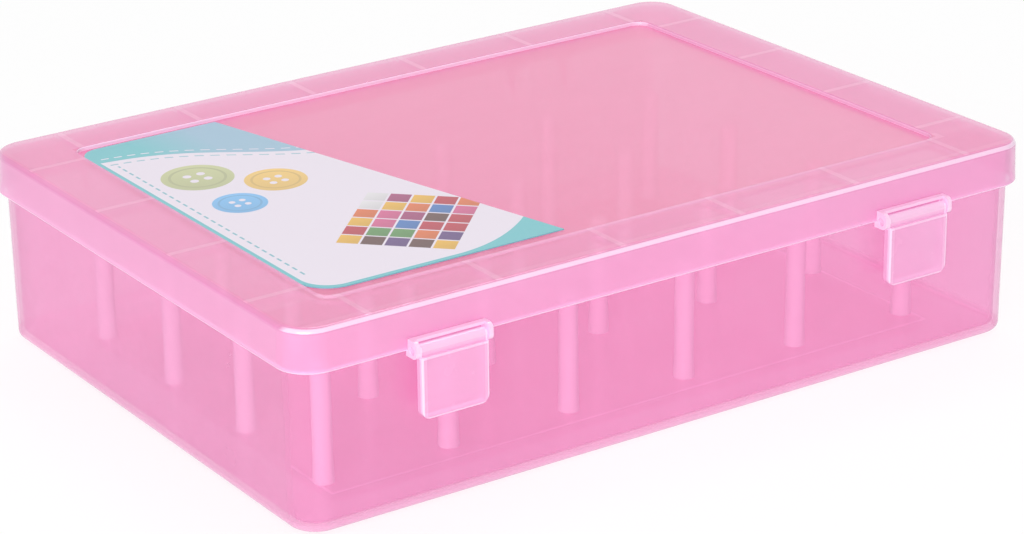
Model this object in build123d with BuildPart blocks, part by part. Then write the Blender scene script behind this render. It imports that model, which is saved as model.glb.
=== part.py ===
from build123d import *
import os
from math import radians, tan

# Thread box: a shallow tray that holds a field of spool spindles, under a hinged lid with two
# swing latches. Frame: +X along the latch side, -Y towards the latches, +Z up. The origin is the
# middle of the footprint, on the surface that the box stands on. All lengths are millimetres.

# Lid: an inverted pan whose skirt hangs over the rim of the tray.
lid_length = 200.0
lid_width = 143.5
lid_corner_radius = 8.0
lid_wall = 1.1
lid_edge_round = 1.5
skirt_edge_round = 0.5
skirt_height = 10.2
skirt_draft = 2.0

# Recess in the lid's top, which takes the foot of a box stacked on it, and carries the label.
recess_border_x = 15.7
recess_border_y = 14.2
recess_corner_radius = 3.5
recess_depth = 1.0
recess_edge_round = 0.4

# Ribs under the lid's border, one in line with each row and column of spindles.
rib_thickness = 1.0
rib_height = 1.2

# Tray: floor, drafted walls and a shallow stacking foot.
tray_height = 46.0
tray_wall = 1.4
tray_draft = 0.4
tray_corner_radius = 7.0
tray_edge_round = 2.0
tray_inner_round = 1.2
tray_rim_round = 0.4
floor_thickness = 1.6
foot_height = 0.6
foot_corner_radius = 3.0

# Spindles, each with a spigot staked through the tray's floor.
spindle_columns = 6
spindle_rows = 4
spindle_pitch_x = 32.5
spindle_pitch_y = 33.2
spindle_height = 28.8
spindle_foot_radius = 2.45
spindle_radius = 2.25
spindle_flare_height = 6.0
spindle_tip_round = 0.8
spigot_radius = 1.6
spigot_end_gap = 0.2

# Latches: a barrel that turns between two ears on the skirt, and a plate that hangs over the wall.
latch_end_distance = 36.8
latch_width = 16.9
latch_axis_offset = 1.75
latch_axis_rise = 0.6
latch_barrel_radius = 1.3
latch_drop = 15.5
latch_plate_top = 1.4
latch_plate_thickness = 1.4
latch_flange_depth = 2.0
latch_flange_width = 1.2
latch_plate_proud = 0.6
latch_neck_thickness = 1.3
latch_corner_radius = 2.0
latch_edge_round = 0.35
latch_hook_height = 1.4
latch_hook_rise = 0.6
latch_hook_margin = 3.0
trunnion_radius = 0.9
ear_thickness = 1.0
ear_reach = 1.7
ear_height = 4.0
lip_thickness = 0.7

# Catch ledges on the tray's front wall, one for each latch.
catch_reach = 1.6
catch_lip_height = 1.4
catch_slope_height = 3.2
catch_width = 11.0

# Rear hinges: one knuckle on the lid between two on the tray, on a steel pin.
hinge_end_distance = 36.8
hinge_axis_offset = 2.6
hinge_axis_rise = 1.2
hinge_pin_radius = 1.0
knuckle_radius = 2.1
lid_knuckle_width = 11.0
tray_knuckle_width = 5.0
bracket_drop = 11.8
lid_web_rise = 3.2
lid_web_drop = 1.1

# Label on the left of the recess: its right edge slants.
label_thickness = 0.25
label_bond = 0.03
label_margin = 0.4
label_front_gap = 4.0
label_back_gap = 1.2
label_back_length = 37.9
label_front_length = 63.9
label_back_radius = 5.5
label_front_radius = 8.5

# Clearances between pieces.
lid_side_clearance = 0.25
lid_seat_gap = 0.1
stack_clearance = 0.8
running_clearance = 0.05
side_play = 0.25
latch_clearance = 0.3
bracket_clearance = 0.6

# Depth by which a feature is rooted in the wall that carries it.
root = 0.5

# Heights.
floor_top = foot_height + floor_thickness
rib_underside = tray_height + lid_seat_gap
border_underside = rib_underside + rib_height
lid_top = border_underside + lid_wall
skirt_bottom = lid_top - skirt_height
recess_floor = lid_top - recess_depth
panel_underside = recess_floor - lid_wall

# Plan sizes of the lid.
skirt_slope = tan(radians(skirt_draft))
lid_top_length = lid_length - 2 * skirt_height * skirt_slope
lid_top_width = lid_width - 2 * skirt_height * skirt_slope
recess_length = lid_top_length - 2 * recess_border_x
recess_width = lid_top_width - 2 * recess_border_y
pan_length = recess_length + 2 * lid_wall
pan_width = recess_width + 2 * lid_wall
cavity_length = lid_length - 2 * lid_wall
cavity_width = lid_width - 2 * lid_wall
ceiling_shrink = 2 * (skirt_height - lid_wall) * skirt_slope

# Plan sizes of the tray, from the inside of the lid.
tray_slope = tan(radians(tray_draft))
rim_length = cavity_length - ceiling_shrink - 2 * lid_side_clearance
rim_width = cavity_width - ceiling_shrink - 2 * lid_side_clearance
base_length = rim_length - 2 * (tray_height - foot_height) * tray_slope
base_width = rim_width - 2 * (tray_height - foot_height) * tray_slope
floor_length = base_length + 2 * floor_thickness * tray_slope - 2 * tray_wall
floor_width = base_width + 2 * floor_thickness * tray_slope - 2 * tray_wall
foot_length = recess_length - 2 * stack_clearance
foot_width = recess_width - 2 * stack_clearance

# Spindle places, which the ribs share.
column_x = [(i - (spindle_columns - 1) / 2) * spindle_pitch_x for i in range(spindle_columns)]
row_y = [(i - (spindle_rows - 1) / 2) * spindle_pitch_y for i in range(spindle_rows)]

# Latch axis, plate and hook.
latch_x = lid_length / 2 - latch_end_distance
latch_axis_y = -(lid_width / 2 + latch_axis_offset)
latch_axis_z = skirt_bottom + latch_axis_rise
plate_face_y = latch_axis_y - latch_barrel_radius - latch_plate_proud
plate_back_y = plate_face_y + latch_flange_depth
plate_web_y = plate_face_y + latch_plate_thickness
plate_bottom = latch_axis_z - latch_drop
plate_top = latch_axis_z - latch_plate_top
hook_bottom = plate_bottom + latch_hook_rise
hook_top = hook_bottom + latch_hook_height
ear_x = latch_width / 2 + side_play + ear_thickness / 2
cradle_width = latch_width + 2 * (side_play + ear_thickness)
trunnion_length = latch_width + 2 * (side_play + ear_thickness) - 2 * latch_clearance

# Catch ledge.
catch_bottom = hook_top + latch_clearance
wall_at_catch = base_width / 2 + (catch_bottom - foot_height) * tray_slope
catch_face_y = -(wall_at_catch + catch_reach)
hook_face_y = catch_face_y - latch_clearance

# Hinge axis.
hinge_x = lid_length / 2 - hinge_end_distance
hinge_y = lid_width / 2 + hinge_axis_offset
hinge_z = skirt_bottom + hinge_axis_rise
tray_knuckle_x = lid_knuckle_width / 2 + side_play + tray_knuckle_width / 2
hinge_pin_length = lid_knuckle_width + 2 * (side_play + tray_knuckle_width)
bracket_bottom = hinge_z - bracket_drop
bracket_top = skirt_bottom - bracket_clearance
bracket_root_y = base_width / 2 + (bracket_bottom - foot_height) * tray_slope - root


def save(piece, name):
    """Labels a finished piece and writes it as one STEP file."""
    piece.part.label = name
    export_step(piece.part, f"parts/{name}.step")


os.makedirs("parts", exist_ok=True)

# Tray
with BuildPart() as tray:
    with BuildSketch(Plane.XY.offset(foot_height)):
        RectangleRounded(base_length, base_width, tray_corner_radius)
    extrude(amount=tray_height - foot_height, taper=-tray_draft)
    fillet(tray.faces().sort_by(Axis.Z)[0].edges(), tray_edge_round)
    with BuildSketch(Plane.XY.offset(floor_top)):
        RectangleRounded(floor_length, floor_width, tray_corner_radius - tray_wall)
    extrude(amount=tray_height - floor_top, taper=-tray_draft, mode=Mode.SUBTRACT)
    fillet(tray.faces().filter_by(Axis.Z).sort_by(Axis.Z)[1].edges(), tray_inner_round)
    fillet(tray.faces().sort_by(Axis.Z)[-1].edges(), tray_rim_round)
    with BuildSketch():
        RectangleRounded(foot_length, foot_width, foot_corner_radius)
    extrude(amount=floor_top - tray_inner_round)
    with BuildSketch():
        with Locations(*[(x, y) for x in column_x for y in row_y]):
            Circle(spigot_radius)
    extrude(amount=floor_top, mode=Mode.SUBTRACT)
    # Catch ledges on the front wall
    for x in (-latch_x, latch_x):
        with BuildSketch(Plane.YZ.offset(x)):
            with BuildLine():
                Polyline(
                    (-wall_at_catch + root, catch_bottom),
                    (catch_face_y, catch_bottom),
                    (catch_face_y, catch_bottom + catch_lip_height),
                    (-wall_at_catch + root, catch_bottom + catch_lip_height + catch_slope_height),
                    close=True,
                )
            make_face()
        extrude(amount=catch_width / 2, both=True)
    # Hinge brackets with their knuckles on the rear wall
    for x in (-hinge_x, hinge_x):
        for side in (-tray_knuckle_x, tray_knuckle_x):
            with BuildSketch(Plane.YZ.offset(x + side)):
                with BuildLine():
                    Polyline(
                        (bracket_root_y, bracket_bottom),
                        (bracket_root_y, bracket_top),
                        (hinge_y - knuckle_radius, bracket_top),
                        (hinge_y - knuckle_radius, hinge_z),
                        (hinge_y + knuckle_radius, hinge_z),
                        close=True,
                    )
                make_face()
                with Locations((hinge_y, hinge_z)):
                    Circle(knuckle_radius)
                    Circle(hinge_pin_radius, mode=Mode.SUBTRACT)
            extrude(amount=tray_knuckle_width / 2, both=True)
save(tray, "tray")

# Lid
with BuildPart() as lid:
    with BuildSketch(Plane.XY.offset(skirt_bottom)):
        RectangleRounded(lid_length, lid_width, lid_corner_radius)
    extrude(amount=skirt_height, taper=skirt_draft)
    fillet(lid.faces().sort_by(Axis.Z)[-1].edges(), lid_edge_round)
    with BuildSketch(Plane.XY.offset(recess_floor)):
        RectangleRounded(recess_length, recess_width, recess_corner_radius)
    extrude(amount=recess_depth, mode=Mode.SUBTRACT)
    fillet(lid.faces().sort_by(Axis.Z)[-1].inner_wires()[0].edges(), recess_edge_round)
    fillet(lid.faces().sort_by(Axis.Z)[0].edges(), skirt_edge_round)
    with BuildSketch(Plane.XY.offset(skirt_bottom)):
        RectangleRounded(cavity_length, cavity_width, lid_corner_radius - lid_wall)
    extrude(amount=skirt_height - lid_wall, taper=skirt_draft, mode=Mode.SUBTRACT)
    with BuildSketch(Plane.XY.offset(panel_underside)):
        RectangleRounded(pan_length, pan_width, recess_corner_radius + lid_wall)
    extrude(amount=lid_wall)
    # Ribs under the border, from the pan out to the skirt
    rib_inner_y = pan_width / 2 - root
    rib_outer_y = (cavity_width - ceiling_shrink) / 2 + root
    rib_inner_x = pan_length / 2 - root
    rib_outer_x = (cavity_length - ceiling_shrink) / 2 + root
    rib_y = (rib_inner_y + rib_outer_y) / 2
    rib_x = (rib_inner_x + rib_outer_x) / 2
    with BuildSketch(Plane.XY.offset(rib_underside)):
        with Locations(*[(x, side * rib_y) for x in column_x for side in (-1, 1)]):
            Rectangle(rib_thickness, rib_outer_y - rib_inner_y)
        with Locations(*[(side * rib_x, y) for y in row_y for side in (-1, 1)]):
            Rectangle(rib_outer_x - rib_inner_x, rib_thickness)
    extrude(amount=rib_height + root)
    # Latch cradles on the front of the skirt: two ears and a lip over the barrel
    cradle_root_y = -(lid_width / 2 - root)
    ear_bottom = latch_axis_z - ear_reach
    ear_front_y = latch_axis_y - ear_reach
    lip_front_y = latch_axis_y + latch_clearance
    for x in (-latch_x, latch_x):
        for side in (-ear_x, ear_x):
            with BuildSketch(Plane.YZ.offset(x + side)) as ear:
                with Locations(((ear_front_y + cradle_root_y) / 2, ear_bottom + ear_height / 2)):
                    Rectangle(cradle_root_y - ear_front_y, ear_height)
                fillet(ear.vertices().group_by(Axis.X)[0], ear_reach - latch_edge_round)
                with Locations((latch_axis_y, latch_axis_z)):
                    Circle(trunnion_radius + running_clearance, mode=Mode.SUBTRACT)
            extrude(amount=ear_thickness / 2, both=True)
        with BuildSketch(Plane.XY.offset(ear_bottom + ear_height - lip_thickness)):
            with Locations((x, (lip_front_y + cradle_root_y) / 2)):
                Rectangle(cradle_width, cradle_root_y - lip_front_y)
        extrude(amount=lip_thickness)
    # Hinge knuckles on the back of the skirt
    for x in (-hinge_x, hinge_x):
        with BuildSketch(Plane.YZ.offset(x)):
            with BuildLine():
                Polyline(
                    (lid_width / 2 - root, hinge_z - lid_web_drop),
                    (lid_width / 2 - root, hinge_z + lid_web_rise),
                    (hinge_y, hinge_z + knuckle_radius),
                    (hinge_y, hinge_z - lid_web_drop),
                    close=True,
                )
            make_face()
            with Locations((hinge_y, hinge_z)):
                Circle(knuckle_radius)
                Circle(hinge_pin_radius + running_clearance, mode=Mode.SUBTRACT)
        extrude(amount=lid_knuckle_width / 2, both=True)
save(lid, "lid")

# Label, stuck to the floor of the recess
label_left = -recess_length / 2 + label_margin
label_back = recess_width / 2 - label_back_gap
label_front = -recess_width / 2 + label_front_gap
with BuildPart() as label:
    with BuildSketch(Plane.XY.offset(recess_floor + label_bond)) as label_outline:
        with BuildLine():
            Polyline(
                (label_left, label_front),
                (label_left + label_front_length, label_front),
                (label_left + label_back_length, label_back),
                (label_left, label_back),
                close=True,
            )
        make_face()
        fillet(label_outline.vertices().sort_by_distance((label_left, label_front))[0], label_front_radius)
        fillet(label_outline.vertices().sort_by_distance((label_left, label_back))[0], label_back_radius)
    extrude(amount=label_thickness)
save(label, "label")


def make_latch(x, name):
    """Builds one latch round its barrel axis, with its trunnions, plate and hook."""
    with BuildPart() as latch:
        plate_plane = Plane((x, plate_face_y, 0), x_dir=(1, 0, 0), z_dir=(0, -1, 0))
        plate_middle = (plate_top + plate_bottom) / 2
        plate_height = plate_top - plate_bottom
        with BuildSketch(plate_plane) as plate:
            with Locations((0, plate_middle)):
                Rectangle(latch_width, plate_height)
            fillet(plate.vertices().group_by(Axis.Y)[0], latch_corner_radius)
        extrude(amount=-latch_flange_depth)
        fillet(latch.faces().sort_by(Axis.Y)[0].edges(), latch_edge_round)
        pocket_plane = Plane((x, plate_web_y, 0), x_dir=(1, 0, 0), z_dir=(0, -1, 0))
        with BuildSketch(pocket_plane):
            with Locations((0, plate_middle)):
                RectangleRounded(
                    latch_width - 2 * latch_flange_width,
                    plate_height - 2 * latch_flange_width,
                    latch_corner_radius - latch_flange_width,
                )
        extrude(amount=plate_web_y - plate_back_y, mode=Mode.SUBTRACT)
        # Barrel and the neck that carries the plate
        with BuildSketch(Plane.YZ.offset(x)):
            with Locations((latch_axis_y, latch_axis_z)):
                Circle(latch_barrel_radius)
            neck_front_y = plate_back_y - latch_neck_thickness
            neck_foot = plate_top - latch_flange_width
            with Locations((plate_back_y, latch_axis_z)):
                Rectangle(
                    plate_back_y - neck_front_y, latch_axis_z - neck_foot, align=(Align.MAX, Align.MAX)
                )
        extrude(amount=latch_width / 2, both=True)
        with BuildSketch(Plane.YZ.offset(x)):
            with Locations((latch_axis_y, latch_axis_z)):
                Circle(trunnion_radius)
        extrude(amount=trunnion_length / 2, both=True)
        # Hook towards the catch ledge
        with BuildSketch(Plane.XY.offset(hook_bottom)):
            with Locations((x, (hook_face_y + plate_web_y - root) / 2)):
                Rectangle(latch_width - 2 * latch_hook_margin, hook_face_y - plate_web_y + root)
        extrude(amount=latch_hook_height)
    save(latch, name)


make_latch(-latch_x, "latch_left")
make_latch(latch_x, "latch_right")


def make_hinge_pin(x, name):
    """Builds one steel hinge pin, flush with the outer knuckles."""
    with BuildPart() as pin:
        with BuildSketch(Plane.YZ.offset(x)):
            with Locations((hinge_y, hinge_z)):
                Circle(hinge_pin_radius)
        extrude(amount=hinge_pin_length / 2, both=True)
    save(pin, name)


make_hinge_pin(-hinge_x, "hinge_pin_left")
make_hinge_pin(hinge_x, "hinge_pin_right")


def make_spindle(x, y, name):
    """Builds one spindle: a spigot through the floor, a flared foot, a straight shank and a tip."""
    with BuildPart() as spindle:
        with BuildSketch(Plane((x, y, 0), x_dir=(1, 0, 0), z_dir=(0, -1, 0))) as profile:
            with BuildLine():
                Polyline(
                    (0, spigot_end_gap),
                    (spigot_radius, spigot_end_gap),
                    (spigot_radius, floor_top),
                    (spindle_foot_radius, floor_top),
                    (spindle_radius, floor_top + spindle_flare_height),
                    (spindle_radius, floor_top + spindle_height),
                    (0, floor_top + spindle_height),
                    close=True,
                )
            make_face()
            tip = profile.vertices().group_by(Axis.Y)[-1].sort_by(Axis.X)[-1]
            fillet(tip, spindle_tip_round)
        revolve(axis=Axis((x, y, 0), (0, 0, 1)))
    save(spindle, name)


for row, y in enumerate(row_y, start=1):
    for column, x in enumerate(column_x, start=1):
        make_spindle(x, y, f"spindle_row{row}_column{column}")

print("lid top", round(lid_top, 2), "skirt bottom", round(skirt_bottom, 2))
print("tray base", round(base_length, 2), round(base_width, 2), "rim", round(rim_length, 2))
print("latch axis", round(latch_axis_y, 2), round(latch_axis_z, 2))
print("hinge axis", round(hinge_y, 2), round(hinge_z, 2))
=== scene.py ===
"""Dresses the pink thread box: milky shells, solid spindles, steel hinge pins and a printed card."""

import logging
import math
from dataclasses import dataclass
from enum import Enum
from typing import Any, Iterable, Union

import bpy
from mathutils import Matrix, Vector


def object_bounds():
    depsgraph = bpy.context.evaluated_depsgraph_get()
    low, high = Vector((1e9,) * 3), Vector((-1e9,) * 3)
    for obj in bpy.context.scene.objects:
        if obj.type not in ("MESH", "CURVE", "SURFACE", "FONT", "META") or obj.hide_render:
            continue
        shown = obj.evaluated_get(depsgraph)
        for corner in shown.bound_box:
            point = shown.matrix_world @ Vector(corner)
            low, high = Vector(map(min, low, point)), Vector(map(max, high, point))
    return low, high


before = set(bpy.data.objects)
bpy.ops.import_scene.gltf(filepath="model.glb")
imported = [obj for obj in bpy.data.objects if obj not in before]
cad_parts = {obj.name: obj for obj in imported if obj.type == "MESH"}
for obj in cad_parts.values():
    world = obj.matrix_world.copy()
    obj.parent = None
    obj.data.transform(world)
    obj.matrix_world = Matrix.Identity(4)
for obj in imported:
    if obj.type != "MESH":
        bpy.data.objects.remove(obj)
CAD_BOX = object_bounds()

SEE_THROUGH_LAYERS = 48  # how many milky faces a line of sight may cross
MM = 1000.0  # millimetres in a metre
PLASTIC_IOR = 1.49
BENT_SHARE = 1 - 1 / PLASTIC_IOR**2  # the squared cosine, inside a wall, of light that grazed it outside
GRAZING_GLOSS = 0.9  # how much of the light that grazes a wall is mirrored

Number = Union[float, "Value"]
Triple = tuple[float, float, float]
Colour = Triple


def linear(red: int, green: int, blue: int) -> Colour:
    """Turns a screen colour into the linear one that shaders take.

    Args:
        red: Red from 0 to 255.
        green: Green from 0 to 255.
        blue: Blue from 0 to 255.

    Returns:
        The three linear parts.
    """
    parts = (channel / 255 for channel in (red, green, blue))
    return tuple(((part + 0.055) / 1.055) ** 2.4 if part > 0.04045 else part / 12.92 for part in parts)


def shaded(colour: Colour, factor: float) -> Colour:
    """Returns a colour made darker or lighter by a factor, with no part over 1."""
    return tuple(min(part * factor, 1.0) for part in colour)


class Value:
    """A number that varies over a surface: wraps a node's socket, so that maths on it reads as maths."""

    def __init__(self, book: "FinishBook", socket: bpy.types.NodeSocket) -> None:
        """Keeps the socket and the book that its nodes go in."""
        self.book = book
        self.socket = socket

    def _maths(self, operation: str, *operands: Number, clamp: bool = False) -> "Value":
        """Adds one Math node.

        Args:
            operation: The node's operation.
            operands: Its inputs in order.
            clamp: Whether the result is held between 0 and 1.

        Returns:
            The node's result.
        """
        made = self.book.node(
            "ShaderNodeMath", {"operation": operation, "use_clamp": clamp}, dict(enumerate(operands))
        )
        return Value(self.book, made.outputs[0])

    def __add__(self, other: Number) -> "Value":
        """Returns the sum."""
        return self._maths("ADD", self, other)

    def __sub__(self, other: Number) -> "Value":
        """Returns the difference."""
        return self._maths("SUBTRACT", self, other)

    def __rsub__(self, other: Number) -> "Value":
        """Returns the difference from a number on the left."""
        return self._maths("SUBTRACT", other, self)

    def __mul__(self, other: Number) -> "Value":
        """Returns the product."""
        return self._maths("MULTIPLY", self, other)

    def __truediv__(self, other: Number) -> "Value":
        """Returns the quotient."""
        return self._maths("DIVIDE", self, other)

    def __rtruediv__(self, other: Number) -> "Value":
        """Returns a number on the left over this."""
        return self._maths("DIVIDE", other, self)

    def __pow__(self, other: Number) -> "Value":
        """Returns the power."""
        return self._maths("POWER", self, other)

    def __rpow__(self, other: Number) -> "Value":
        """Returns a number on the left to this power."""
        return self._maths("POWER", other, self)

    def __abs__(self) -> "Value":
        """Returns the size without its sign."""
        return self._maths("ABSOLUTE", self)

    __radd__ = __add__
    __rmul__ = __mul__

    def most(self, other: Number) -> "Value":
        """Returns the larger of the two."""
        return self._maths("MAXIMUM", self, other)

    def below(self, edge: Number, blur: float) -> "Value":
        """Makes a mask that is 1 under an edge and 0 over it.

        Args:
            edge: Where the mask changes.
            blur: Over what width it does.

        Returns:
            The mask, from 0 to 1.
        """
        return self._maths("ADD", (edge - self) / blur, 0.5, clamp=True)

    def above(self, edge: Number, blur: float) -> "Value":
        """Makes the opposite mask, which is 1 over an edge and 0 under it."""
        return 1.0 - self.below(edge, blur)

    def held(self) -> "Value":
        """Returns this held between 0 and 1."""
        return self._maths("ADD", self, 0.0, clamp=True)

    def wave(self) -> "Value":
        """Returns its sine, for an angle in radians."""
        return self._maths("SINE", self)

    def within(self, period: float) -> "Value":
        """Returns how far this is past the nearest whole number of periods, less than 0 before it."""
        return self._maths("WRAP", self, period / 2, -period / 2)

    def rounded(self) -> "Value":
        """Returns the nearest whole number."""
        return self._maths("ROUND", self)


class FinishBook:
    """One node tree under construction, with the shorthand that its recipe is written in."""

    def __init__(self, owner: Union[bpy.types.Material, bpy.types.World]) -> None:
        """Starts an empty tree.

        Args:
            owner: The material or the world that it belongs to.
        """
        self.owner = owner
        owner.use_nodes = True
        self.tree = owner.node_tree
        self.tree.nodes.clear()

    @classmethod
    def material(cls, name: str) -> "FinishBook":
        """Starts a new material of that name."""
        return cls(bpy.data.materials.new(name))

    def node(self, kind: str, settings: dict[str, Any], inputs: dict[Any, Any]) -> bpy.types.Node:
        """Adds any node.

        Args:
            kind: The node's type.
            settings: Its own settings. A ramp's stops go under "stops", as (place, colour) pairs, and its
                interpolation under "banding".
            inputs: Values or links by the socket's number, identifier or name.

        Returns:
            The node.
        """
        made = self.tree.nodes.new(kind)
        for key, value in settings.items():
            if key == "stops":
                ramp = made.color_ramp
                while len(ramp.elements) < len(value):
                    ramp.elements.new(1.0)
                for element, (place, colour) in zip(ramp.elements, value):
                    element.position = place
                    element.color = (*colour, 1.0)
            elif key == "banding":
                made.color_ramp.interpolation = value
            else:
                setattr(made, key, value)
        for key, value in inputs.items():
            self._feed(self._socket(made, key), value)
        return made

    def _socket(self, made: bpy.types.Node, key: Any) -> bpy.types.NodeSocket:
        """Finds one of a node's inputs.

        Args:
            made: The node.
            key: The input's number, identifier or name.

        Returns:
            The input.
        """
        if isinstance(key, int):
            return made.inputs[key]
        return next((s for s in made.inputs if s.identifier == key), None) or made.inputs[key]

    def _feed(self, socket: bpy.types.NodeSocket, value: Any) -> None:
        """Links or sets one input.

        Args:
            socket: The input.
            value: What it gets: a value over the surface, a node's output, a colour or a number.
        """
        if isinstance(value, Value):
            value = value.socket
        if isinstance(value, bpy.types.NodeSocket):
            self.tree.links.new(value, socket)
        elif socket.type == "RGBA" and len(value) == 3:
            socket.default_value = (*value, 1.0)
        else:
            socket.default_value = value

    def value(self, socket: bpy.types.NodeSocket) -> Value:
        """Returns a socket ready for maths."""
        return Value(self, socket)

    def point(self) -> bpy.types.NodeSocket:
        """Returns the point on the piece, as a vector in metres."""
        return self.node("ShaderNodeTexCoord", {}, {}).outputs["Object"]

    def parts(self, vector: bpy.types.NodeSocket) -> tuple[Value, ...]:
        """Returns a vector's x, y and z."""
        return tuple(self.value(s) for s in self.node("ShaderNodeSeparateXYZ", {}, {0: vector}).outputs)

    def facing(self) -> tuple[Value, ...]:
        """Returns the surface's normal as x, y and z."""
        return self.parts(self.node("ShaderNodeTexCoord", {}, {}).outputs["Normal"])

    def squareness(self) -> Value:
        """Returns how square the surface is to the line of sight: 1 face on, 0 edge on."""
        facing = self.node("ShaderNodeLayerWeight", {}, {"Blend": 0.5}).outputs["Facing"]
        return 1.0 - self.value(facing)

    def rays(self, kind: str) -> bpy.types.NodeSocket:
        """Returns 1 for rays of one kind, such as "Is Shadow Ray"."""
        return self.node("ShaderNodeLightPath", {}, {}).outputs[kind]

    def noise(self, point: bpy.types.NodeSocket, scale: float, detail: float = 2.0,
              stretch: Triple = (1.0, 1.0, 1.0)) -> Value:
        """Adds a noise.

        Args:
            point: Where it is read.
            scale: How many features there are to a metre.
            detail: Its octaves.
            stretch: How much finer it is along each axis.

        Returns:
            The noise, around one half.
        """
        if stretch != (1.0, 1.0, 1.0):
            finer = self.node("ShaderNodeVectorMath", {"operation": "MULTIPLY"}, {0: point, 1: stretch})
            point = finer.outputs[0]
        made = self.node("ShaderNodeTexNoise", {}, {"Vector": point, "Scale": scale, "Detail": detail})
        return self.value(made.outputs[0])

    def mix(self, share: Number, first: Any, second: Any, how: str = "MIX") -> bpy.types.NodeSocket:
        """Mixes two colours.

        Args:
            share: How much of the second one shows.
            first: The colour at 0.
            second: The colour at 1.
            how: The blend, such as "MULTIPLY".

        Returns:
            The mixed colour.
        """
        made = self.node("ShaderNodeMix", {"data_type": "RGBA", "blend_type": how},
                         {"Factor_Float": share, "A_Color": first, "B_Color": second})
        return next(s for s in made.outputs if s.identifier == "Result_Color")

    def bump(self, height: Number, depth: float, strength: float = 1.0) -> bpy.types.NodeSocket:
        """Turns a height into a normal.

        Args:
            height: The height, from 0 to 1.
            depth: What 1 is in metres.
            strength: How much of it shows.

        Returns:
            The bent normal.
        """
        inputs = {"Height": height, "Distance": depth, "Strength": strength}
        return self.node("ShaderNodeBump", {}, inputs).outputs[0]

    def principled(self, **inputs: Any) -> bpy.types.NodeSocket:
        """Adds a Principled shader, with underscores for the spaces in its sockets' names."""
        named = {key.replace("_", " "): value for key, value in inputs.items()}
        return self.node("ShaderNodeBsdfPrincipled", {}, named).outputs[0]

    def clear(self, tint: Colour) -> bpy.types.NodeSocket:
        """Adds a shader that passes light straight on, tinted."""
        return self.node("ShaderNodeBsdfTransparent", {}, {"Color": tint}).outputs[0]

    def blend(self, share: Number, first: bpy.types.NodeSocket,
              second: bpy.types.NodeSocket) -> bpy.types.NodeSocket:
        """Mixes two shaders.

        Args:
            share: How much of the second one there is.
            first: The shader at 0.
            second: The shader at 1.

        Returns:
            The mixed shader.
        """
        return self.node("ShaderNodeMixShader", {}, {0: share, 1: first, 2: second}).outputs[0]

    def finish(self, shader: bpy.types.NodeSocket) -> bpy.types.Material:
        """Ends the recipe at a shader and returns the material."""
        self.node("ShaderNodeOutputMaterial", {}, {"Surface": shader})
        return self.owner

    def finish_lit_through(self, shader: bpy.types.NodeSocket, lamp_tint: Colour) -> bpy.types.Material:
        """Ends the recipe at a shader that lamps also shine through.

        Args:
            shader: What is seen.
            lamp_tint: What the piece does to a lamp's light on its way through.

        Returns:
            The material.
        """
        return self.finish(self.blend(self.rays("Is Shadow Ray"), shader, self.clear(lamp_tint)))


@dataclass(frozen=True)
class Spot:
    """Where on a moulding a finish is worked out: its place in mm, and how far it looks back and up."""

    x: Value
    y: Value
    z: Value
    back: Value
    up: Value

    @classmethod
    def read(cls, book: FinishBook) -> "Spot":
        """Reads the spot in a finish's own tree."""
        place = (part * MM for part in book.parts(book.point()))
        return cls(*place, *book.facing()[1:])

    def past(self, half_x: float, half_y: float) -> Value:
        """Returns how far it is outside a rectangle round the middle of the box, less than 0 inside."""
        return (abs(self.x) - half_x).most(abs(self.y) - half_y)


class Wear(Enum):
    """Which faces of a moulding are rubbed by use."""

    UPPER = "faces that look up"
    ALL = "every face"


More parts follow.
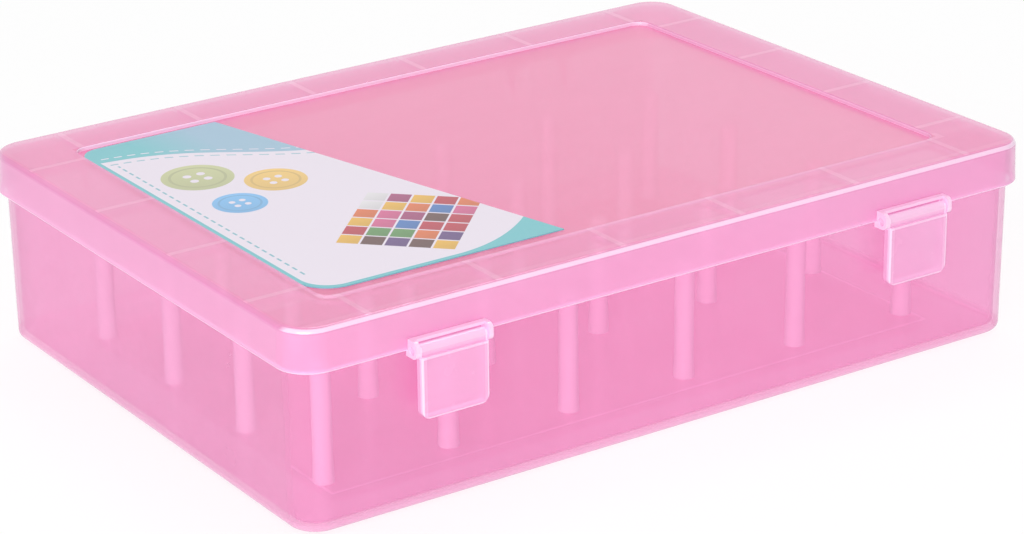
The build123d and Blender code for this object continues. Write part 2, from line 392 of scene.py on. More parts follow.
@dataclass(frozen=True)
class MilkyPlastic:
    """Tinted polypropylene that light gets through: part clear, part cloudy, glossy outside.

    Attributes:
        name: The material's name.
        pigment: Colour of the cloudy part.
        cloud: How much of a thin wall is cloudy, seen face on.
        pale: Colour of the cloudy part where the moulding is thicker, and of its painted highlights.
        deep: Its deeper colour, which also carries painted shade.
        clear_tint: What the clear part does to the light that it passes.
        lamp_tint: What a wall does to a lamp's light.
        roughness: Roughness of the cloudy part where nothing has rubbed it.
        gloss_ior: How strongly its gloss mirrors, as a refractive index.
        thick_and_highlit_cloud: How much more of the wall is cloudy where the moulding is thicker or a
            highlight is painted.
        deep_cloud: How much more of it is where the colour is deeper or shade is painted.
        wear: Which faces are rubbed.
        streaks: How many flow streaks there are to a metre.
        mottle: How much darker and lighter they make the pigment.
        uneven: How much they change the cloud of a thin wall.
        grain: How many features the mould's grain has to a metre.
        grain_depth: How deep these are, in metres.
        scuffs: How many scuffs there are to a metre.
        scuff_start: Where in their noise the scuffs start.
        scuff_rise: How fast they gain strength from there.
        scuff_roughness: How much rougher the plastic is on them.
        scuff_dulling: How much of the gloss they take.
    """

    name: str
    pigment: Colour
    cloud: float
    pale: Colour = linear(255, 220, 246)
    deep: Colour = linear(247, 160, 205)
    clear_tint: Colour = (0.965, 0.84, 0.915)
    lamp_tint: Colour = (0.965, 0.895, 0.935)
    roughness: float = 0.3
    gloss_ior: float = 1.6
    thick_and_highlit_cloud: float = 0.6
    deep_cloud: float = 0.0
    wear: Wear = Wear.ALL
    streaks: float = 28.0
    mottle: float = 0.04
    uneven: float = 0.2
    grain: float = 900.0
    grain_depth: float = 0.00002
    scuffs: float = 190.0
    scuff_start: float = 0.6
    scuff_rise: float = 5.0
    scuff_roughness: float = 0.1
    scuff_dulling: float = 0.25

    def thick_and_highlit(self, spot: Spot) -> Number:
        """Returns up to 1 where the moulding is thicker or a highlight is painted, so that it is paler."""
        return 0.0

    def deep_and_shaded(self, spot: Spot) -> Number:
        """Returns up to 1 where the colour is deeper, from the pigment or from painted shade."""
        return 0.0

    def open_share(self, cloud: Value, square: Value) -> Value:
        """Works out how much shows through a wall.

        A slanting line of sight crosses more of the wall, and one that grazes it is mirrored.

        Args:
            cloud: How much of the wall is cloudy, seen face on.
            square: How square it is to the line of sight.

        Returns:
            How much of what is seen there is clear.
        """
        path = (BENT_SHARE + (1.0 - BENT_SHARE) * square * square) ** -0.5
        return (1.0 - cloud) ** path * (1.0 - GRAZING_GLOSS * (1.0 - square) ** 5.0)

    def make(self) -> bpy.types.Material:
        """Builds the material.

        Returns:
            The material.
        """
        book = FinishBook.material(self.name)
        point = book.point()
        spot = Spot.read(book)
        flow = book.noise(point, self.streaks, 3.0, (1.0, 1.6, 2.2))
        grain = book.noise(point, self.grain, 2.0)
        scuff = book.noise(point, self.scuffs, 4.0, (1.0, 6.0, 1.0))
        rubbed = ((scuff - self.scuff_start) * self.scuff_rise).held()
        rubbed = rubbed * (spot.up.most(0.0) if self.wear is Wear.UPPER else 1.0)
        thick_and_highlit, deep_and_shaded = self.thick_and_highlit(spot), self.deep_and_shaded(spot)
        dark, light = shaded(self.pigment, 1.0 - self.mottle), shaded(self.pigment, 1.0 + self.mottle)
        pigment = book.mix(flow, dark, light)
        # The pale colour carries painted highlights and the deep one painted shade, besides thicker and
        # deeper plastic.
        pigment = book.mix(thick_and_highlit, book.mix(deep_and_shaded, pigment, self.deep), self.pale)
        thin = self.cloud * (1.0 - self.uneven / 2 + self.uneven * flow)
        cloud = (thin + self.thick_and_highlit_cloud * thick_and_highlit + self.deep_cloud * deep_and_shaded).held()
        cloudy = book.principled(
            Base_Color=pigment,
            Roughness=self.roughness + self.scuff_roughness * rubbed,
            IOR=PLASTIC_IOR,
            Coat_Weight=1.0 - self.scuff_dulling * rubbed,
            Coat_Roughness=0.1,
            Coat_IOR=self.gloss_ior,
            Normal=book.bump(grain, self.grain_depth, 0.3),
        )
        seen = book.blend(self.open_share(cloud, book.squareness()), cloudy, book.clear(self.clear_tint))
        return book.finish_lit_through(seen, self.lamp_tint)


@dataclass(frozen=True)
class LidPlastic(MilkyPlastic):
    """The lid's plastic: pale over its ribs, with painted highlights along its edges and on the recess's
    walls, painted shade on its floor. Lengths in mm.

    Attributes:
        recess: Half the recess's length and width.
        recess_depth: Its depth and a little over.
        row_pitch: From one rib to the next along y.
        column_pitch: From one rib to the next along x.
        rib: Half the width of a rib's mark.
        lip: Half the width of the mark along the recess's front edge.
        top: Height of the top.
        plate: How far under it the plate's level faces lie at most.
        brow: Height of the rounding along the top's front edge, where a highlight is painted.
        front_edge: Where the top's front edge is.
        ledge: How far behind it the skirt's thickness shows.
        skirt_bottom: Height of the skirt's lower edge.
        skirt_half: How far its front is from the middle there.
        edge: Width of the painted highlight along the skirt's lower edge.
        soft: Blur of a sharp mark.
        faint: Blur of a soft one.
        skirt_share: How thick the skirt looks, from 0 to 1, like each share here.
        border_share: How thick the plate looks outside the recess.
        behind_share: How much thicker it looks there beside and behind the recess.
        rib_share: How thick a rib looks.
        lip_share: How thick the recess's front edge looks.
        ledge_share: How thick the plate looks over the skirt.
        rim_highlight: How strong the painted highlight along the skirt's lower edge is.
        cradle_share: How pale the latches' cradles are: thicker plastic, with a painted highlight.
        border_shade_cut: How much less painted shade the plate has outside the recess.
    """

    recess: tuple[float, float] = (83.94, 57.2)
    recess_depth: float = 1.1
    row_pitch: float = 33.2
    column_pitch: float = 32.5
    rib: float = 0.75
    lip: float = 0.8
    top: float = 48.4
    plate: float = 2.4
    brow: float = 1.3
    front_edge: float = -71.4
    ledge: float = 3.0
    skirt_bottom: float = 38.2
    skirt_half: float = 71.75
    edge: float = 0.42
    soft: float = 0.15
    faint: float = 0.5
    skirt_share: float = 0.22
    border_share: float = 0.05
    behind_share: float = 0.06
    rib_share: float = 0.18
    lip_share: float = 0.14
    ledge_share: float = 0.1
    rim_highlight: float = 0.8
    cradle_share: float = 0.7
    border_shade_cut: float = 0.45

    def ribs(self, spot: Spot) -> Value:
        """Marks the ribs under the plate's border.

        Args:
            spot: Where on the lid.

        Returns:
            1 over a rib.
        """
        half_x, half_y = self.recess
        rows = abs((spot.y - self.row_pitch / 2).within(self.row_pitch)).below(self.rib, self.faint)
        columns = abs((spot.x - self.column_pitch / 2).within(self.column_pitch)).below(self.rib, self.faint)
        beside, before = abs(spot.x).above(half_x, self.soft), abs(spot.y).above(half_y, self.soft)
        return rows * beside + columns * before

    def plate_marks(self, spot: Spot) -> Value:
        """Marks the plate: its border, the ribs, the recess's front edge and the ledge over the skirt.

        Args:
            spot: Where on the lid.

        Returns:
            How thick the plate looks, and 0 off the plate.
        """
        half_y = self.recess[1]
        past = spot.past(*self.recess)
        behind = spot.y.above(-half_y, 2.0)
        border = past.above(0.0, self.soft) * (self.border_share + self.behind_share * behind)
        lip = abs(past - 0.5).below(self.lip, self.faint) * spot.y.below(-half_y + 2.0, 1.0)
        ledge = spot.y.below(self.front_edge + self.ledge, 0.8)
        plate = spot.z.above(self.top - self.plate, self.soft) * abs(spot.up).above(0.9, 0.05)
        marks = border + self.rib_share * self.ribs(spot) + self.lip_share * lip + self.ledge_share * ledge
        return marks * plate

    def recess_walls(self, spot: Spot) -> Value:
        """Marks the walls of the recess, where a highlight is painted.

        Args:
            spot: Where on the lid.

        Returns:
            1 on a wall.
        """
        half_x, half_y = self.recess
        inner = abs(spot.x).below(half_x + 0.3, 0.1) * abs(spot.y).below(half_y + 0.3, 0.1)
        return inner * spot.z.above(self.top - self.recess_depth, 0.1) * abs(spot.up).below(0.6, 0.2)

    def thick_and_highlit(self, spot: Spot) -> Number:
        """Marks the thicker skirt and plate, and painted highlights on the rim, front rounding, recess walls
        and cradles.

        Args:
            spot: Where on the lid.

        Returns:
            How much thicker or highlit the lid looks, from 0 to 1.
        """
        front = spot.back.below(-0.2, 0.2)
        skirt = spot.z.below(self.top - 1.2, 0.8)
        # Painted highlight along the skirt's lower edge.
        rim = spot.z.below(self.skirt_bottom + self.edge, self.soft)
        # Painted highlight along the rounding of the top's front edge, where it faces the front.
        brow = spot.z.above(self.top - self.brow, 0.1) * spot.up.above(0.25, 0.1)
        brow = brow * spot.up.below(0.8, 0.12) * front
        # Painted highlight on the recess's walls, stronger where they face the front.
        walls = self.recess_walls(spot) * (0.6 + 0.4 * front)
        # The cradles are paler: thicker plastic and a painted highlight.
        cradles = spot.y.below(-0.2 - self.skirt_half, 0.1)
        return (
            self.skirt_share * skirt + self.plate_marks(spot) + self.rim_highlight * rim
            + brow + walls + self.cradle_share * cradles
        ).held()

    def deep_and_shaded(self, spot: Spot) -> Number:
        """Returns 1 on the recess's floor, deepened as painted shade, and less on the border round it."""
        # Painted shade: up-facing faces are deeper in colour, the border round the recess less so.
        border = spot.past(*self.recess).above(0.0, self.soft)
        return spot.up.above(0.9, 0.1) * (1.0 - self.border_shade_cut * border)


@dataclass(frozen=True)
class TrayPlastic(MilkyPlastic):
    """The tray's plastic: painted shade deepens the floor inside the foot's outline and the back wall; the
    outline is pale. Lengths in mm.

    Attributes:
        floor: Height of the floor's upper face and a little over.
        foot: Half the foot's length and width.
        outline: Half the width of its outline.
        soft: Blur of a mark.
        outline_share: How thick the outline looks, from 0 to 1.
        edge_share: How thick the lower edge of the walls looks.
        back_wall_shade: How much painted shade deepens the back wall's colour, from 0 to 1.
        edge_depth: How deep in colour the lower edge of the walls is.
    """

    floor: float = 2.4
    foot: tuple[float, float] = (83.15, 56.4)
    outline: float = 0.35
    soft: float = 0.3
    outline_share: float = 0.4
    edge_share: float = 0.2
    back_wall_shade: float = 0.35
    edge_depth: float = 0.35

    def thick_and_highlit(self, spot: Spot) -> Number:
        """Marks the foot's outline and the lower edge of the walls.

        Args:
            spot: Where on the tray.

        Returns:
            How thick the tray looks.
        """
        outline = abs(spot.past(*self.foot)).below(self.outline, self.soft)
        outline = outline * spot.z.below(self.floor, self.soft)
        edge = spot.z.below(self.floor, 1.0) * abs(spot.up).below(0.8, 0.2)
        return self.outline_share * outline + self.edge_share * edge

    def deep_and_shaded(self, spot: Spot) -> Number:
        """Marks the floor and back wall, where shade is painted, and the darker lower edge of the walls.

        Args:
            spot: Where on the tray.

        Returns:
            How deep in colour the tray is, from 0 to 1.
        """
        # Painted shade on the floor, fullest inside the foot, and on the back wall; the lower edge is
        # darker.
        level = abs(spot.up).above(0.7, 0.2) * spot.z.below(self.floor, self.soft)
        inside = spot.past(*self.foot).below(0.0, self.soft)
        wall = abs(spot.back).above(0.7, 0.2) * spot.y.above(0.0, 1.0)
        edge = spot.z.below(self.floor + 0.4, 0.8) * abs(spot.up).below(0.9, 0.2)
        return (level * (0.5 + 0.5 * inside) + self.back_wall_shade * wall + self.edge_depth * edge).held()


@dataclass(frozen=True)
class LatchPlastic(MilkyPlastic):
    """The latches' plastic: painted highlights along the plate's edges and on the barrel, paler over the
    flanges. Lengths in mm.

    Attributes:
        middle: How far each latch's middle is from the box's.
        half: Half a latch's width.
        flange: Width of the flanges behind its sides.
        face: Where the plate's front face is.
        rim: How far behind that the painted highlight along its sides goes.
        bottom: Height of the plate's lower edge.
        top: Height of its upper edge.
        barrel: Height of the middle of the barrel.
        edge: Width of the painted highlight along an edge.
        soft: Blur of a mark.
        side_highlight: How strong the painted highlight on the sides is, from 0 to 1, like each share here.
        flange_share: How thick the flanges look.
        foot_highlight: How strong the painted highlight along the lower edge is.
        head_highlight: How strong the painted highlight along the upper edge is.
        barrel_highlight: How strong the painted highlight on the barrel is.
    """

    middle: float = 63.2
    half: float = 8.45
    flange: float = 1.2
    face: float = -75.4
    rim: float = 0.9
    bottom: float = 23.3
    top: float = 37.4
    barrel: float = 38.8
    edge: float = 0.45
    soft: float = 0.15
    side_highlight: float = 0.8
    flange_share: float = 0.2
    foot_highlight: float = 0.8
    head_highlight: float = 0.7
    barrel_highlight: float = 0.6

    def thick_and_highlit(self, spot: Spot) -> Number:
        """Marks the thicker flanges, and painted highlights on the sides, the lower and upper edge and the
        barrel.

        Args:
            spot: Where on the latches.

        Returns:
            How much thicker or highlit the latch looks, from 0 to 1.
        """
        off = abs(abs(spot.x) - self.middle)
        # Painted highlights on the sides, lower and upper edge and barrel; the flanges are thicker plastic.
        sides = off.above(self.half - self.edge, self.soft) * spot.y.below(self.face + self.rim, 0.3)
        flanges = off.above(self.half - self.flange, self.soft) * spot.z.below(self.top, self.soft)
        foot = spot.z.below(self.bottom + self.edge, self.soft)
        head = abs(spot.z - self.top + self.edge / 2).below(self.edge / 2, self.soft)
        barrel = spot.z.above(self.barrel - 0.6, 1.0)
        return (
            self.side_highlight * sides + self.flange_share * flanges + self.foot_highlight * foot
            + self.head_highlight * head + self.barrel_highlight * barrel
        ).held()


@dataclass(frozen=True)
class SolidPlastic:
    """Pink plastic that is too thick to see through, though some light gets by, with a faint shine.

    Attributes:
        name: The material's name.
        pigment: Its colour.
        lamp_tint: What it does to a lamp's light.
        roughness: Its roughness at the least.
        streaks: How many flow streaks there are to a metre.
        mottle: How much darker they make it.
        grain: How many features the mould's grain has to a metre.
        grain_depth: How deep these are, in metres.
    """

    name: str
    pigment: Colour
    lamp_tint: Colour = (0.8, 0.6, 0.7)
    roughness: float = 0.38
    streaks: float = 120.0
    mottle: float = 0.04
    grain: float = 1200.0
    grain_depth: float = 0.00002

    def make(self) -> bpy.types.Material:
        """Builds the material.

        Returns:
            The material.
        """
        book = FinishBook.material(self.name)
        point = book.point()
        flow = book.noise(point, self.streaks, 2.0, (1.0, 1.0, 0.2))
        grain = book.noise(point, self.grain, 2.0)
        solid = book.principled(
            Base_Color=book.mix(flow, shaded(self.pigment, 1.0 - self.mottle), self.pigment),
            Roughness=self.roughness + 0.08 * grain,
            Normal=book.bump(grain, self.grain_depth, 0.4),
        )
        return book.finish_lit_through(solid, self.lamp_tint)


@dataclass(frozen=True)
class PinSteel:
    """Drawn steel wire, cut to length.

    Attributes:
        name: The material's name.
        dark: Colour between the drawing marks.
        bright: Colour on them.
        marks: How many drawing marks there are to a metre, before they are drawn out along x.
        depth: How deep they are, in metres.
    """

    name: str = "drawn_steel"
    dark: Colour = (0.42, 0.43, 0.45)
    bright: Colour = (0.6, 0.61, 0.63)
    marks: float = 400.0
    depth: float = 0.00002

    def make(self) -> bpy.types.Material:
        """Builds the material.

        Returns:
            The material.
        """
        book = FinishBook.material(self.name)
        drawn = book.noise(book.point(), self.marks, 3.0, (0.05, 4.0, 4.0))
        return book.finish(book.principled(
            Base_Color=book.mix(drawn, self.dark, self.bright),
            Metallic=1.0,
            Roughness=0.22 + 0.2 * drawn,
            Normal=book.bump(drawn, self.depth, 0.5),
        ))


@dataclass(frozen=True)
class Swell:
    """The wavy line along the back of the card's pale field. Lengths in mm.

    Attributes:
        left: Where the line starts.
        back: How far back it is there, without its waves.
        fall: How much nearer the front it is for each millimetre to the right.
        height: Height of its waves.
        turn: How far a wave turns in a millimetre, in radians.
        start: How far it has turned at x = 0, in radians.
    """

    left: float = -83.0
    back: float = 46.5
    fall: float = 0.42
    height: float = 2.6
    turn: float = 0.105
    start: float = 8.6

    def at(self, x: Value) -> Value:
        """Returns how far back the line is at x."""
        return self.back + self.height * (x * self.turn + self.start).wave() - (x - self.left) * self.fall


@dataclass(frozen=True)
class Button:
    """A printed four-hole button. Lengths in mm.

    Attributes:
        x: Where its middle is across the card.
        y: Where it is up the card.
        radius: Its radius.
        colour: Its colour.
        rim: The rim line's radius, as a share of the button's.
        rim_half: Half the width of that line, as such a share.
        hole_offset: How far a hole is from the middle along x and along y, as such a share.
        hole: A hole's radius, as such a share.
    """

    x: float
    y: float
    radius: float
    colour: Colour
    rim: float = 0.76
    rim_half: float = 0.04
    hole_offset: float = 0.21
    hole: float = 0.12

    def over(self, shown: Any, x: Value, y: Value, card: "CardPrint", book: FinishBook) -> Any:
        """Prints the button.

        Args:
            shown: The print so far.
            x: Place across the card.
            y: Place up the card.
            card: The card, whose field shows through the holes.
            book: Where the nodes go.

        Returns:
            The print with the button on it.
        """
        radius = self.radius
        dx, dy = x - self.x, y - self.y
        reach = (dx * dx + dy * dy) ** 0.5
        whole = reach.below(radius, card.soft)
        rim = abs(reach - self.rim * radius).below(self.rim_half * radius, card.soft)
        hx, hy = abs(dx) - self.hole_offset * radius, abs(dy) - self.hole_offset * radius
        holes = ((hx * hx + hy * hy) ** 0.5).below(self.hole * radius, card.soft)
        sheen = ((dx * 0.5 + dy) / radius * 0.35 + 0.4).held()
        face = book.mix(sheen, shaded(self.colour, 0.84), shaded(self.colour, 1.1))
        shown = book.mix(whole, shown, face)
        shown = book.mix(rim * 0.7, shown, shaded(self.colour, 0.7))
        return book.mix(holes, shown, card.field)


@dataclass(frozen=True)
class Patchwork:
    """A printed rhombus of small cloth squares, set on their corners. Lengths in mm.

    Attributes:
        middle: Where its middle is across and up the card.
        slant: How much a millimetre across and one up count towards its reach.
        reach: How far its sides are from its middle, counted so.
        pitch: From one square to the next.
        half: Half a square's width.
        seed: Which of the many layouts of the cloths it has.
        cloths: The squares' colours.
    """

    middle: tuple[float, float] = (-44.0, -28.0)
    slant: tuple[float, float] = (0.9, 0.8)
    reach: float = 17.5
    pitch: float = 5.4
    half: float = 2.45
    seed: float = 3.0
    cloths: tuple[Colour, ...] = (
        linear(196, 44, 70), linear(232, 118, 60), linear(244, 190, 70), linear(96, 150, 84),
        linear(70, 124, 196), linear(98, 60, 130), linear(222, 96, 150), linear(96, 52, 48),
        linear(240, 236, 240), linear(170, 60, 120),
    )

    def cloth(self, column: Value, row: Value, book: FinishBook) -> bpy.types.NodeSocket:
        """Picks the colour of one square.

        Args:
            column: The square's column.
            row: Its row.
            book: Where the nodes go.

        Returns:
            One of the cloths, always the same one for the same square.
        """
        cell = book.node("ShaderNodeCombineXYZ", {}, {0: column, 1: row, 2: self.seed}).outputs[0]
        chance = book.node("ShaderNodeTexWhiteNoise", {"noise_dimensions": "3D"}, {"Vector": cell})
        stops = [(i / len(self.cloths), colour) for i, colour in enumerate(self.cloths)]
        bands = {"stops": stops, "banding": "CONSTANT"}
        return book.node("ShaderNodeValToRGB", bands, {0: chance.outputs["Value"]}).outputs[0]

    def over(self, shown: Any, x: Value, y: Value, card: "CardPrint", book: FinishBook) -> Any:
        """Prints the patchwork.

        Args:
            shown: The print so far.
            x: Place across the card.
            y: Place up the card.
            card: The card.
            book: Where the nodes go.

        Returns:
            The print with the patchwork on it.
        """
        pitch, step = self.pitch, self.pitch * math.sqrt(0.5)
        along, up = (x + y) * math.sqrt(0.5), (y - x) * math.sqrt(0.5)
        column, row = (along / pitch).rounded(), (up / pitch).rounded()
        off_along, off_up = along - column * pitch, up - row * pitch
        square = abs(off_along).most(abs(off_up)).below(self.half, card.soft)
        across = abs((column - row) * step - self.middle[0]) * self.slant[0]
        back = abs((column + row) * step - self.middle[1]) * self.slant[1]
        chosen = (across + back).below(self.reach, 0.01)
        light = ((off_along + off_up) / pitch * 0.5 + 0.5).held()
        shade = book.mix(light, (0.62, 0.62, 0.62), (1.0, 1.0, 1.0))
        cloth = book.mix(0.6, self.cloth(column, row, book), shade, "MULTIPLY")
        return book.mix(square * chosen, shown, cloth)


@dataclass(frozen=True)
class CardPrint:
    """The printed card: teal ground, pale field, buttons, a patchwork and stitches. Lengths in mm.

    Attributes:
        name: The material's name.
        lamp_tint: What the card does to a lamp's light.
        teal: The ground.
        slate: The ground at the back, from the fade to the right.
        field: The pale field.
        backing: The card's underside.
        stitch: The stitches on the field.
        left: Where the card's left edge is.
        front: Where its front edge is.
        border: Width of the teal that is left round the field.
        corner: Radius of the field's front left corner.
        soft: Blur of the print.
        fade: Where teal starts to turn to slate, and over what width it does.
        sweep: Where the field's front edge starts to sweep back, and how strongly it does.
        seam: How far a row of stitches is from the edge that it follows.
        stitch_pitch: From one stitch to the next.
        stitch_half: Half a stitch's length and width.
        fibres: How many paper fibres there are to a metre.
        cockles: How many waves the card has to a metre.
        cockle_depth: How deep these are, in metres.
        fibre_share: How deep the fibres are, as a share of that.
        swell: The line along the field's back.
        motifs: What is printed on the field, in order.
    """

    name: str = "card_print"
    lamp_tint: Colour = (0.72, 0.72, 0.74)
    teal: Colour = linear(112, 198, 206)
    slate: Colour = linear(158, 194, 218)
    field: Colour = linear(242, 232, 245)
    backing: Colour = linear(236, 232, 232)
    stitch: Colour = linear(130, 190, 204)
    left: float = -83.54
    front: float = -53.2
    border: float = 1.3
    corner: float = 7.2
    soft: float = 0.12
    fade: tuple[float, float] = (-70.0, 16.0)
    sweep: tuple[float, float] = (-47.0, 0.017)
    seam: float = 2.4
    stitch_pitch: float = 3.2
    stitch_half: tuple[float, float] = (0.95, 0.26)
    fibres: float = 1500.0
    cockles: float = 45.0
    cockle_depth: float = 0.0003
    fibre_share: float = 0.03
    swell: Swell = Swell()
    motifs: tuple[Union[Button, Patchwork], ...] = (
        Button(-68.5, 24.0, 8.6, linear(204, 208, 158)),
        Button(-54.5, 12.0, 7.4, linear(247, 205, 118)),
        Button(-69.0, 3.5, 6.4, linear(128, 194, 246)),
        Patchwork(),
    )

    def stitches(self, along: Value, off: Value) -> Value:
        """Makes a mask of running stitches.

        Args:
            along: The distance along the seam.
            off: The distance from it.

        Returns:
            1 on a stitch.
        """
        half_length, half_width = self.stitch_half
        width = abs(off).below(half_width, self.soft)
        return width * abs(along.within(self.stitch_pitch)).below(half_length, self.soft)

    def ground(self, x: Value, y: Value, book: FinishBook) -> Any:
        """Prints the ground, the pale field and the stitches along its edges.

        Args:
            x: Place across the card.
            y: Place up the card.
            book: Where the nodes go.

        Returns:
            The print so far.
        """
        fade_left, fade_width = self.fade
        shown = book.mix(((x - fade_left) / fade_width).held(), self.teal, self.slate)
        shown = book.mix(y.below(0.0, 20.0), shown, self.teal)
        swell = self.swell.at(x)
        inset_x, inset_y = x - self.left - self.border, y - self.front - self.border
        corner_x, corner_y = (self.corner - inset_x).most(0.0), (self.corner - inset_y).most(0.0)
        sweep_left, sweep_rate = self.sweep
        swept = (x - sweep_left).most(0.0)
        field = (
            ((corner_x * corner_x + corner_y * corner_y) ** 0.5).below(self.corner, self.soft)
            * y.below(swell, self.soft)
            * (inset_y - swept * swept * sweep_rate).above(0.0, self.soft)
        )
        shown = book.mix(field, shown, self.field)
        before, behind = self.stitches(x, y - swell + self.seam), self.stitches(x, y - swell - self.seam)
        shown = book.mix(before * field, shown, self.stitch)
        shown = book.mix(behind * inset_x.above(0.5, 0.5), shown, self.field)
        side = self.stitches(y, inset_x - self.seam)
        side = side * (y - swell).below(-4.0, 0.2) * inset_y.above(9.0, 0.2)
        return book.mix(side, shown, self.stitch)

    def make(self) -> bpy.types.Material:
        """Builds the material.

        Returns:
            The material.
        """
        book = FinishBook.material(self.name)
        point = book.point()
        x, y = (part * MM for part in book.parts(point)[:2])
        shown = self.ground(x, y, book)
        for motif in self.motifs:
            shown = motif.over(shown, x, y, self, book)
        underside = (book.facing()[2] * -8.0).held()
        fibre = book.noise(point, self.fibres, 3.0)
        cockle = book.noise(point, self.cockles, 1.0)
        printed = book.principled(
            Base_Color=book.mix(underside, shown, self.backing),
            Roughness=0.34 + 0.1 * fibre,
            Coat_Weight=0.35,
            Coat_Roughness=0.15,
            Normal=book.bump(fibre * self.fibre_share + cockle, self.cockle_depth, 0.35),
        )
        return book.finish_lit_through(printed, self.lamp_tint)


def background_rays(book: FinishBook) -> Value:
    """Picks out the rays that show a background itself: straight, mirrored or through glass.

    Args:
        book: Where the nodes go.

    Returns:
        1 for those rays.
    """
    kinds = ("Is Camera Ray", "Is Glossy Ray", "Is Transmission Ray")
    camera, glossy, through = (book.value(book.rays(kind)) for kind in kinds)
    return (camera + glossy + through).held()


@dataclass(frozen=True)
class StudioWhite:
    """The table top: white to the eye, with part of the box's shadow left on it.

    Attributes:
        name: The material's name.
        shadow_kept: How much of the shadow shows.
        white: How bright the table is where there is none.
    """

    name: str = "studio_white"
    shadow_kept: float = 0.32
    white: float = 1.1

    def make(self) -> bpy.types.Material:
        """Builds the material.

        Returns:
            The material.
        """
        book = FinishBook.material(self.name)
        paper = book.noise(book.point(), 260.0, 2.0)
        lit = book.principled(
            Base_Color=book.mix(paper, (0.88, 0.88, 0.88), (0.92, 0.92, 0.92)),
            Roughness=0.9,
            Specular_IOR_Level=0.1,
        )
        glow = {"Color": (1.0, 1.0, 1.0), "Strength": self.white}
        plain = book.node("ShaderNodeEmission", {}, glow).outputs[0]
        share = background_rays(book) * (1.0 - self.shadow_kept)
        return book.finish(book.blend(share, lit, plain))


# Each plastic's deep colour also carries painted shade, and its pale one painted highlights.
LID = LidPlastic("milky_lid", linear(252, 184, 227), 0.28, deep=linear(252, 157, 188),
                 clear_tint=(0.965, 0.83, 0.905), gloss_ior=1.5, wear=Wear.UPPER)
TRAY = TrayPlastic("milky_tray", linear(252, 191, 228), 0.24, deep=linear(244, 172, 211),
                   clear_tint=(0.975, 0.838, 0.918), deep_cloud=0.45, gloss_ior=1.42, wear=Wear.UPPER)
LATCH = LatchPlastic("milky_latch", linear(254, 196, 234), 0.46, roughness=0.26, thick_and_highlit_cloud=0.5)
SPINDLE = SolidPlastic("solid_spindle", linear(255, 227, 245))


def dress(names: Iterable[str], material: bpy.types.Material) -> None:
    """Gives CAD nodes a finish.

    Args:
        names: The nodes.
        material: What goes in their material slots.
    """
    for name in names:
        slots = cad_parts[name].data.materials
        slots.clear()
        slots.append(material)
        logging.info("%s is dressed in %s", name, material.name)


@dataclass
class Shells:
    """The tray and the lid, which the frame carries as they are."""

    tray: str = "tray"
    lid: str = "lid"

    def build(self) -> None:
        """Dresses both."""
        dress((self.tray,), TRAY.make())
        dress((self.lid,), LID.make())


@dataclass
class SpindleField:
    """The pins that the spools stand on."""

    rows: int = 4
    columns: int = 6

    def build(self) -> None:
        """Dresses every spindle."""
        names = [f"spindle_row{r + 1}_column{c + 1}" for r in range(self.rows) for c in range(self.columns)]
        dress(names, SPINDLE.make())


@dataclass
class Latches:
    """The two snap latches on the front."""

    names: tuple[str, ...] = ("latch_left", "latch_right")

    def build(self) -> None:
        """Dresses both."""
        dress(self.names, LATCH.make())


@dataclass
class HingePins:
    """The steel pins of the lid's hinges."""

    names: tuple[str, ...] = ("hinge_pin_left", "hinge_pin_right")

    def build(self) -> None:
        """Dresses both."""
        dress(self.names, PinSteel().make())


@dataclass
class Label:
    """The card on the lid."""

    name: str = "label"

    def build(self) -> None:
        """Dresses the card."""
        dress((self.name,), CardPrint().make())


@dataclass(frozen=True)
class Softbox:
    """One soft rectangular lamp that points at the box.

    Attributes:
        name: Its name.
        place: Where it hangs, in metres.
        size: Its width and height in metres.
        power: Its power in watts.
    """

    name: str
    place: Triple
    size: tuple[float, float]
    power: float

    def build(self) -> None:
        """Makes the lamp."""
        data = bpy.data.lights.new(self.name, "AREA")
        data.shape = "RECTANGLE"
        data.size, data.size_y = self.size
        data.energy = self.power
        lamp = bpy.data.objects.new(self.name, data)
        lamp.location = self.place
        lamp.rotation_euler = (-Vector(self.place)).to_track_quat("-Z", "Y").to_euler()
        bpy.context.scene.collection.objects.link(lamp)


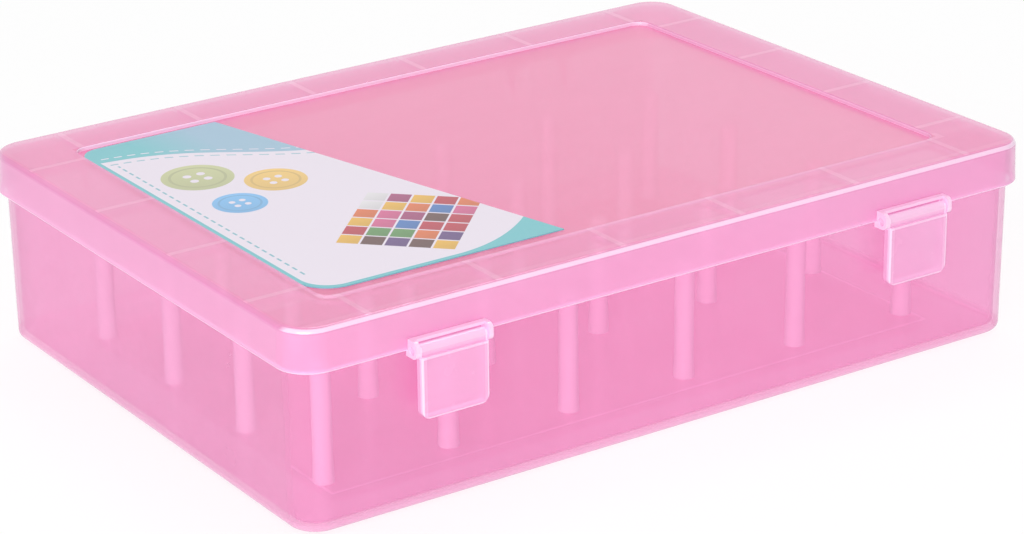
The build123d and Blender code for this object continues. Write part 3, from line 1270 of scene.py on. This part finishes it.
@dataclass
class Studio:
    """Camera, table top, surroundings and lamps. Lengths in metres and angles in degrees.

    Attributes:
        eye: Where the camera is.
        azimuth: How far it looks to the right of straight back.
        drop: How far down it looks.
        roll: How far it is rolled.
        lens: Its focal length in millimetres.
        sensor: Its sensor's width in millimetres.
        shift: How far its picture is shifted sideways, as a share of its width.
        sight: The nearest and the farthest that it sees.
        table_reach: The table top's radius.
        table_sides: How many sides its disc has.
        table_gap: How far it is under the box.
        fill: How strongly the surroundings light the box.
        softboxes: The lamps.
    """

    eye: Triple = (-0.40408, -0.59377, 0.30286)
    azimuth: float = 29.923
    drop: float = 21.601
    roll: float = -2.3217
    lens: float = 113.366
    sensor: float = 36.0
    shift: float = 0.2305
    sight: tuple[float, float] = (0.05, 20.0)
    table_reach: float = 4.0
    table_sides: int = 64
    table_gap: float = 0.0001
    fill: float = 0.47
    softboxes: tuple[Softbox, ...] = (
        Softbox("overhead_softbox", (0.38, 0.34, 1.1), (0.6, 0.3), 3.4),
        Softbox("front_softbox", (-0.88, -0.90, 0.5), (0.8, 0.6), 11.0),
    )

    def camera(self) -> None:
        """Makes the camera."""
        data = bpy.data.cameras.new("camera")
        data.sensor_width, data.lens, data.shift_x = self.sensor, self.lens, self.shift
        data.clip_start, data.clip_end = self.sight
        camera = bpy.data.objects.new("camera", data)
        turn = (
            Matrix.Rotation(-math.radians(self.azimuth), 4, "Z")
            @ Matrix.Rotation(math.radians(90.0 - self.drop), 4, "X")
            @ Matrix.Rotation(math.radians(self.roll), 4, "Z")
        )
        camera.matrix_world = Matrix.Translation(self.eye) @ turn
        bpy.context.scene.collection.objects.link(camera)
        bpy.context.scene.camera = camera

    def table(self) -> None:
        """Makes the table top, a disc under the box."""
        turns = [math.tau * i / self.table_sides for i in range(self.table_sides)]
        ring = [(self.table_reach * math.cos(a), self.table_reach * math.sin(a), 0.0) for a in turns]
        mesh = bpy.data.meshes.new("table_top")
        mesh.from_pydata(ring, [], [tuple(range(self.table_sides))])
        mesh.materials.append(StudioWhite().make())
        table = bpy.data.objects.new("table_top", mesh)
        table.location.z = CAD_BOX[0].z - self.table_gap
        bpy.context.scene.collection.objects.link(table)

    def world(self) -> None:
        """Makes the surroundings: white to the eye, softer as light."""
        world = bpy.data.worlds.new("studio")
        bpy.context.scene.world = world
        book = FinishBook(world)
        strength = self.fill + background_rays(book) * (1.0 - self.fill)
        white = {"Color": (1.0, 1.0, 1.0), "Strength": strength}
        sky = book.node("ShaderNodeBackground", {}, white).outputs[0]
        book.node("ShaderNodeOutputWorld", {}, {"Surface": sky})

    def build(self) -> None:
        """Sets the whole studio up."""
        scene = bpy.context.scene
        scene.view_settings.view_transform = "Standard"
        scene.cycles.transparent_max_bounces = SEE_THROUGH_LAYERS
        self.camera()
        self.table()
        self.world()
        for softbox in self.softboxes:
            softbox.build()


def main() -> None:
    """Builds the scene in order."""
    logging.basicConfig(level=logging.INFO)
    Studio().build()
    for piece in (Shells(), SpindleField(), Latches(), HingePins(), Label()):
        piece.build()
        logging.info("built: %s", type(piece).__name__)


if __name__ == "__main__":
    main()
